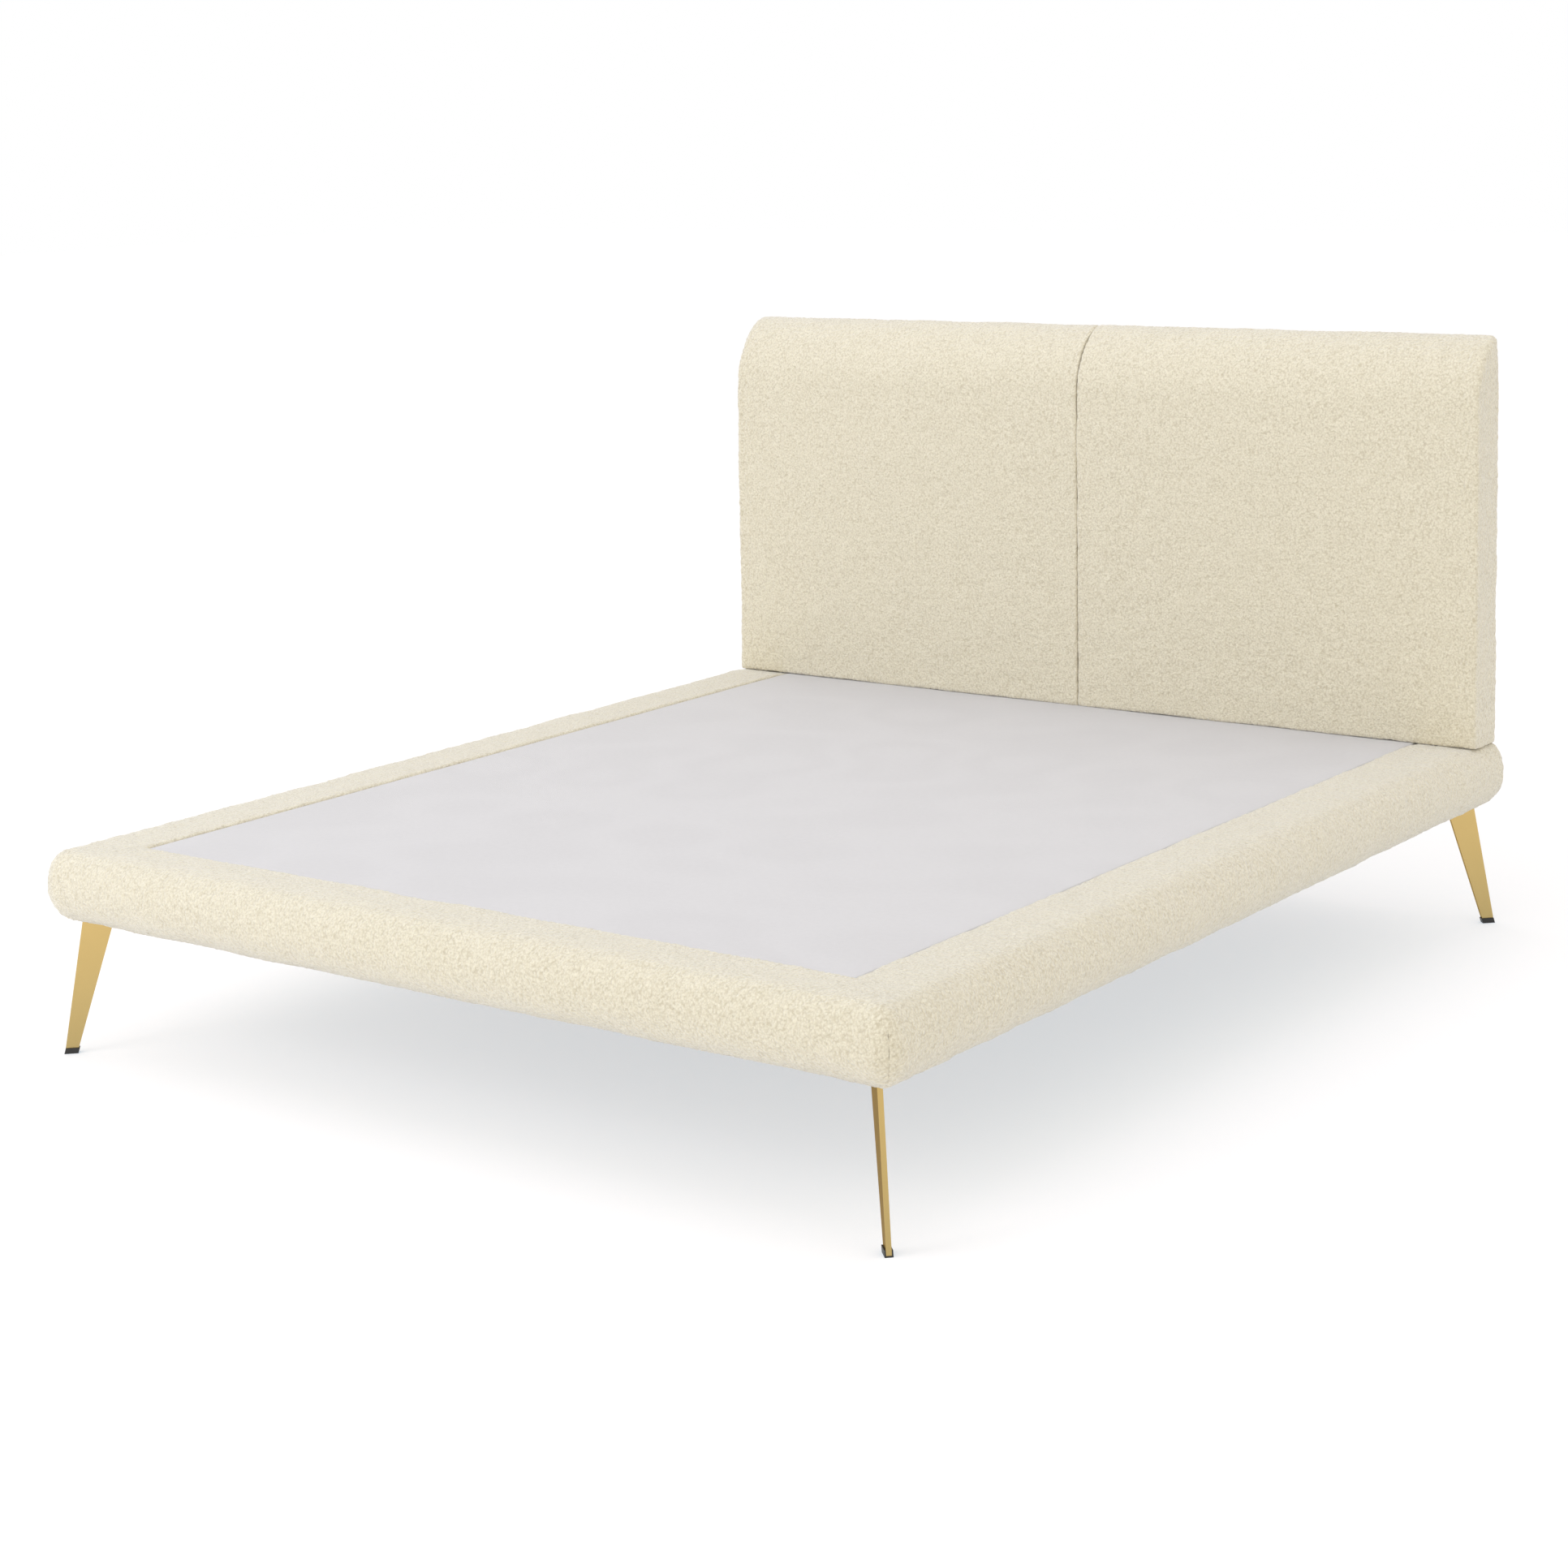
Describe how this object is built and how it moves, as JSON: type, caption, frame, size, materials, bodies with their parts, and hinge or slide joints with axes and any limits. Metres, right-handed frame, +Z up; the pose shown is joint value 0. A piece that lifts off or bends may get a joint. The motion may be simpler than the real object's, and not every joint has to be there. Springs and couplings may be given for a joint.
{
  "type": "upholstered headboard bed",
  "caption": "Platform bed with padded looped-cloth rails, a two-panel headboard with a rounded top edge, a flat cloth-covered deck and splayed metal blade legs.",
  "frame": {"origin": "on the floor under the middle of the bed's outer box", "axes": "+Z up, +Y from the foot to the headboard along the bed's length, +X to the right of someone at the foot looking at the headboard"},
  "size_m": [1.934, 2.254, 1.225],
  "materials": {
    "boucle_cover": "matte",
    "deck_cloth": "matte",
    "lining_cloth": "matte",
    "foam": "matte",
    "frame_wood": "matte",
    "slat_wood": "matte",
    "plywood": "matte",
    "leg_brass": "satin",
    "glide_plastic": "matte",
    "pad_plastic": "matte",
    "black_steel": "satin",
    "zinc_steel": "satin",
    "bracket_steel": "satin"
  },
  "bodies": {
    "root": {"beam_hangers": "bracket_steel", "bracket_screws": "zinc_steel", "centre_beam": "frame_wood", "centre_leg_front": "black_steel", "centre_leg_rear": "black_steel", "centre_leg_screws": "zinc_steel", "corner_blocks": "frame_wood", "corner_brackets": "bracket_steel", "deck_board_foot": "plywood", "deck_board_head": "plywood", "deck_cover": "deck_cloth", "foot_cover": "boucle_cover", "foot_foam": "foam", "foot_glide_left": "glide_plastic", "foot_glide_right": "glide_plastic", "foot_ledge_board": "slat_wood", "foot_leg_left": "leg_brass", "foot_leg_right": "leg_brass", "foot_outer_board": "frame_wood", "foot_rail": "frame_wood", "head_glide_left": "glide_plastic", "head_glide_right": "glide_plastic", "head_leg_left": "leg_brass", "head_leg_right": "leg_brass", "head_rail": "frame_wood", "headboard_back_cloth": "lining_cloth", "headboard_bolts": "zinc_steel", "headboard_centre_stile": "frame_wood", "headboard_cover_left": "boucle_cover", "headboard_cover_right": "boucle_cover", "headboard_foam_left": "foam", "headboard_foam_right": "foam", "headboard_low_rail": "frame_wood", "headboard_outer_stile_left": "frame_wood", "headboard_outer_stile_right": "frame_wood", "headboard_ply": "plywood", "headboard_post_left": "frame_wood", "headboard_post_right": "frame_wood", "headboard_spreader": "frame_wood", "headboard_top_rail": "frame_wood", "leg_screws": "zinc_steel", "rail_ribs": "frame_wood", "side_cover_left": "boucle_cover", "side_cover_right": "boucle_cover", "side_foam_left": "foam", "side_foam_right": "foam", "side_ledge_board_left": "slat_wood", "side_ledge_board_right": "slat_wood", "side_outer_board_left": "frame_wood", "side_outer_board_right": "frame_wood", "side_rail_left": "frame_wood", "side_rail_right": "frame_wood", "slat_ledger_left": "frame_wood", "slat_ledger_right": "frame_wood", "slats": "slat_wood"},
    "pad_front": {"foot_pad_front": "pad_plastic"},
    "stem_front": {"foot_stem_front": "zinc_steel"},
    "pad_rear": {"foot_pad_rear": "pad_plastic"},
    "stem_rear": {"foot_stem_rear": "zinc_steel"}
  },
  "joints": [
    {"name": "foot_rise_front", "type": "slide", "parent": "root", "child": "pad_front", "axis": [0, 0, 1], "range_m": [0, 0.012]},
    {"name": "foot_turn_front", "type": "hinge", "parent": "pad_front", "child": "stem_front", "pos_m": [0, -0.15, 0.016], "axis": [0, 0, 1], "range_deg": [0, 2880]},
    {"name": "foot_rise_rear", "type": "slide", "parent": "root", "child": "pad_rear", "axis": [0, 0, 1], "range_m": [0, 0.012]},
    {"name": "foot_turn_rear", "type": "hinge", "parent": "pad_rear", "child": "stem_rear", "pos_m": [0, 0.47, 0.016], "axis": [0, 0, 1], "range_deg": [0, 2880]}
  ],
  "couplings": [
    {"joint": "foot_turn_front", "follows": "foot_rise_front", "rad_per_m": 4188.8},
    {"joint": "foot_turn_rear", "follows": "foot_rise_rear", "rad_per_m": 4188.8}
  ]
}
